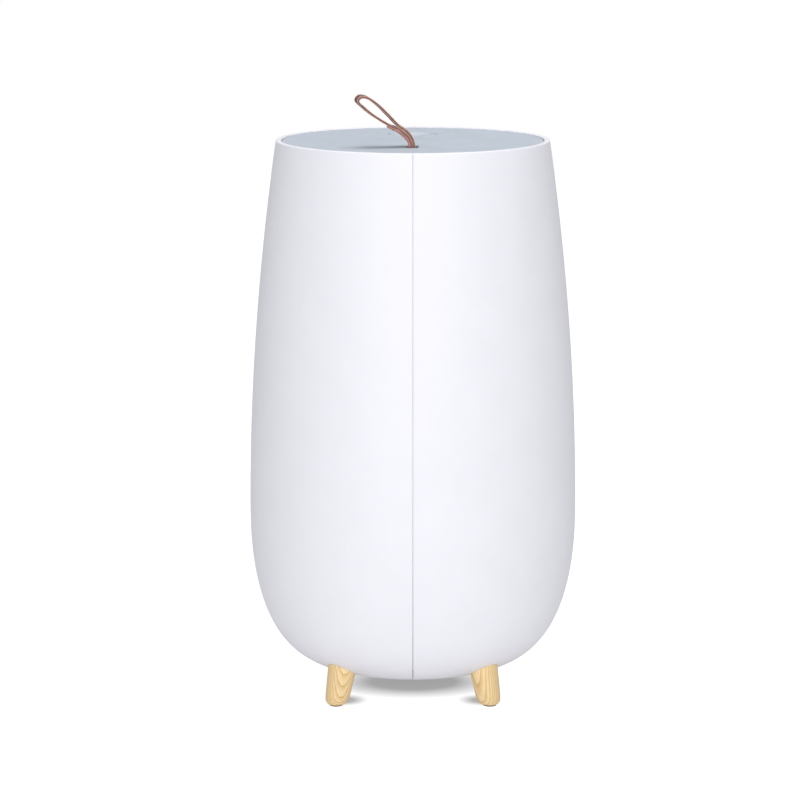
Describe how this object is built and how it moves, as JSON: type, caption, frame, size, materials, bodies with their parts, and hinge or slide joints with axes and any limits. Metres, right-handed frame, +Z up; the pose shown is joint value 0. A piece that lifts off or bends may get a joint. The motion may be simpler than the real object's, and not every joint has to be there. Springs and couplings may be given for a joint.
{
  "type": "cool mist humidifier",
  "caption": "Egg-shaped two-shell humidifier on splayed wooden legs, with a flush lid, leather pull strap, turning mist nozzle, lift-out tank, float, fan and transducer.",
  "frame": {"origin": "on the floor under the middle of the round body", "axes": "+Z up; +X right and +Y back when the seam, the strap slot and the viewer are at -Y; push button at the back left, power inlet at +X"},
  "size_m": [0.21, 0.21, 0.3871],
  "materials": {
    "white_plastic": "satin moulded shell plastic",
    "lid_plastic": "fine matt blue-grey plastic",
    "leather": "brown leather with raw tan edges",
    "wood": "pale pine, clear oiled",
    "rubber": "soft black foot pad",
    "dark_plastic": "moulded dark plastic",
    "grey_plastic": "moulded grey plastic",
    "tank_plastic": "clear smoky-blue moulded tank",
    "steel": "zinc-plated or stainless steel",
    "aluminium": "cast or extruded, plain",
    "ceramic": "fired ceramic disc with an electrode",
    "board": "green circuit board",
    "silicone": "soft milky silicone",
    "foam": "open-cell filter foam",
    "light": "milky light guide",
    "wire": "black sleeved wire"
  },
  "bodies": {
    "housing": {"left_shell": "white_plastic", "right_shell": "white_plastic", "basin": "white_plastic", "float_pin": "steel", "transducer_holder": "aluminium", "transducer_seal": "silicone", "transducer_disc": "ceramic", "base_pan": "grey_plastic", "inlet_grille": "grey_plastic", "dust_filter": "foam", "fan_frame": "dark_plastic", "air_duct": "grey_plastic", "driver_board": "board", "heat_sink": "aluminium", "control_board": "board", "button_switch": "dark_plastic", "light_ring": "light", "jack_bezel": "grey_plastic", "dc_jack": "dark_plastic", "power_lead": "wire", "fan_lead": "wire", "transducer_lead": "wire", "leg_1": "wood", "leg_screw_1": "steel", "foot_pad_1": "rubber", "pan_screw_1": "steel", "basin_screw_1": "steel", "leg_2": "wood", "leg_screw_2": "steel", "foot_pad_2": "rubber", "pan_screw_2": "steel", "basin_screw_2": "steel", "leg_3": "wood", "leg_screw_3": "steel", "foot_pad_3": "rubber", "pan_screw_3": "steel", "basin_screw_3": "steel", "leg_4": "wood", "leg_screw_4": "steel", "foot_pad_4": "rubber", "pan_screw_4": "steel", "basin_screw_4": "steel"},
    "tank": {"water_tank": "tank_plastic", "valve_seat": "grey_plastic", "valve_cage": "grey_plastic", "valve_spring": "steel"},
    "plunger": {"valve_plunger": "white_plastic", "valve_washer": "silicone"},
    "lid": {"lid_plate": "lid_plastic", "lid_liner": "white_plastic", "lid_seal": "silicone", "strap_anchor": "dark_plastic", "strap_root": "leather"},
    "nozzle": {"mist_nozzle": "lid_plastic"},
    "strap": {"strap_loop": "leather"},
    "float": {"level_float": "foam", "float_magnet": "steel", "float_arm": "white_plastic"},
    "rotor": {"fan_rotor": "dark_plastic"},
    "button": {"power_button": "white_plastic"}
  },
  "joints": [
    {"name": "tank_lift", "type": "slide", "parent": "housing", "child": "tank", "axis": [0, 0, 1], "range_m": [0, 0.22]},
    {"name": "lid_lift", "type": "slide", "parent": "tank", "child": "lid", "axis": [0, 0, 1], "range_m": [0, 0.08]},
    {"name": "nozzle_turn", "type": "hinge", "parent": "lid", "child": "nozzle", "pos_m": [0, 0.0395, 0.3544], "axis": [0, 0, 1], "continuous": true},
    {"name": "strap_tilt", "type": "hinge", "parent": "lid", "child": "strap", "pos_m": [-0.00035, -0.04, 0.3566], "axis": [0, 1, 0], "range_deg": [-20, 80], "stiffness_Nm_per_rad": 0.02},
    {"name": "valve_push", "type": "slide", "parent": "tank", "child": "plunger", "axis": [0, 0, 1], "range_m": [-0.0035, 0.0005], "stiffness_N_per_m": 12, "springref_m": -0.0035, "deforming": ["valve_spring"]},
    {"name": "float_tilt", "type": "hinge", "parent": "housing", "child": "float", "pos_m": [-0.01161, -0.04104, 0.126], "axis": [-0.2538, 0.9673, 0], "range_deg": [0, 15.4]},
    {"name": "fan_spin", "type": "hinge", "parent": "housing", "child": "rotor", "pos_m": [0, 0, 0.045], "axis": [0, 0, 1], "continuous": true},
    {"name": "button_press", "type": "slide", "parent": "housing", "child": "button", "axis": [0.6428, -0.766, 0], "range_m": [0, 0.0013], "stiffness_N_per_m": 800}
  ],
  "couplings": [
    {"joint": "valve_push", "follows": "float_tilt", "m_per_rad": -0.0119}
  ]
}
